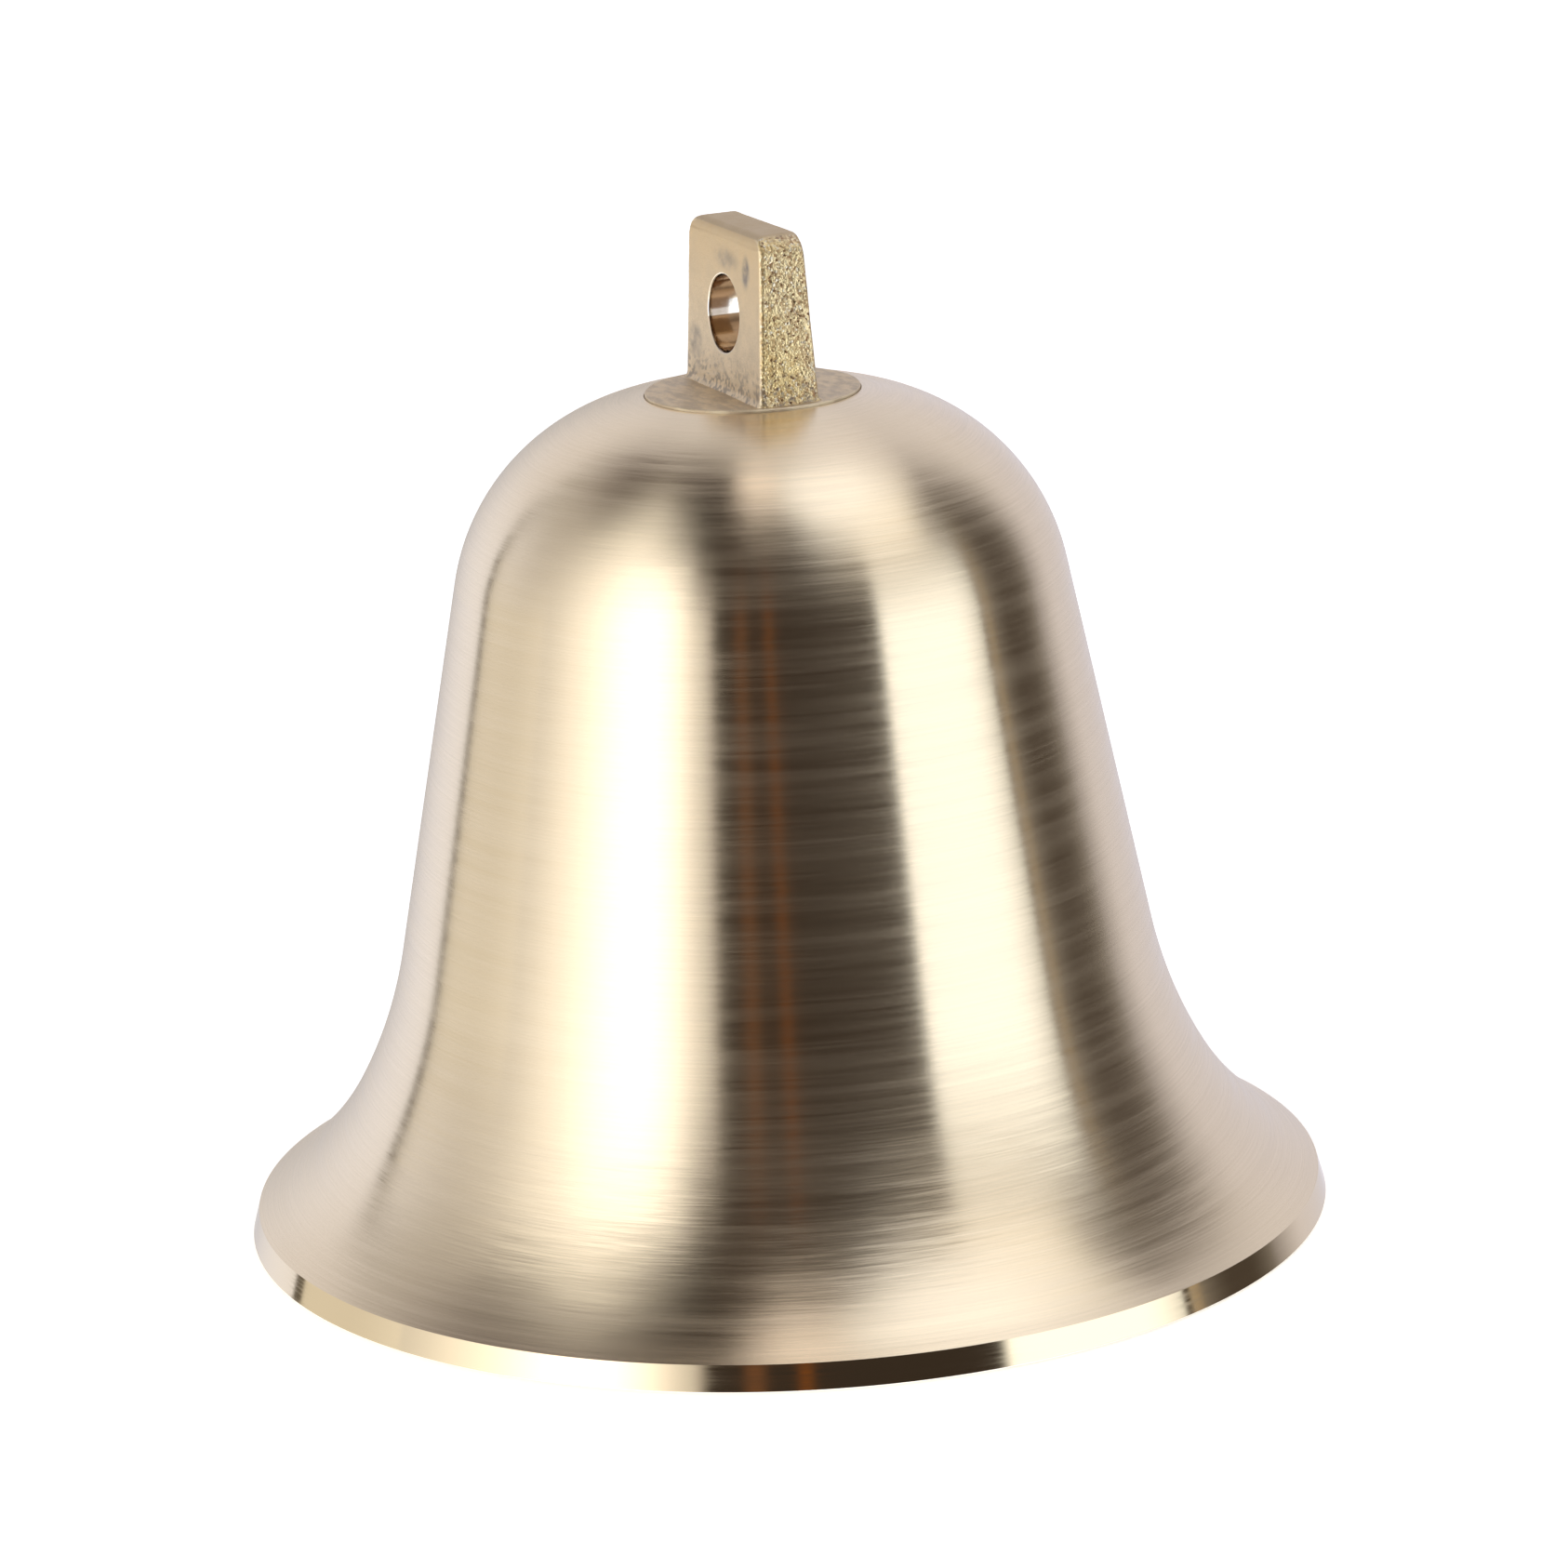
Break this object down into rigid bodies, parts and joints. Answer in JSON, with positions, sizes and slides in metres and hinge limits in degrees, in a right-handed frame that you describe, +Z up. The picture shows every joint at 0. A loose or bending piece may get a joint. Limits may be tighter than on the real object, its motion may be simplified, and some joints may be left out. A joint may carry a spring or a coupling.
{
  "type": "church bell",
  "caption": "Small cast brass bell with a flared mirror-edged mouth, a drilled hanging lug on its crown and a clapper that swings from a clevis inside.",
  "frame": {"origin": "centre of the mouth, in the plane that the lip stands on", "axes": "+Z up the bell's axis towards the hanging lug; the lug's hole and the clapper's pivot pin run along Y, so the clapper swings in the XZ plane"},
  "size_m": [0.1, 0.1, 0.0924],
  "materials": {
    "turned_brass": "lathe-brushed, with a mirror-polished lip band",
    "cast_brass": "sand-cast and dull, worn bright on its edges",
    "machined_brass": "machined",
    "zinc_steel": "bright zinc plate",
    "bright_steel": "turned",
    "leather": "oiled"
  },
  "bodies": {
    "bell": {"bell_shell": "turned_brass", "hanging_lug": "cast_brass", "crown_leather_washer": "leather", "crown_flat_washer": "zinc_steel", "crown_lock_washer": "zinc_steel", "crown_nut": "zinc_steel", "clapper_clevis": "machined_brass", "pivot_pin": "bright_steel", "shim_front": "machined_brass", "shim_back": "machined_brass", "pivot_washer": "zinc_steel", "pivot_split_pin": "zinc_steel"},
    "clapper": {"clapper_stem": "bright_steel", "clapper_bush": "machined_brass", "clapper_ball": "machined_brass", "clapper_washer": "zinc_steel", "clapper_nut": "zinc_steel"}
  },
  "joints": [
    {"name": "clapper_swing", "type": "hinge", "parent": "bell", "child": "clapper", "pos_m": [0, 0, 0.05312], "axis": [0, 1, 0], "range_deg": [-34, 34]}
  ]
}
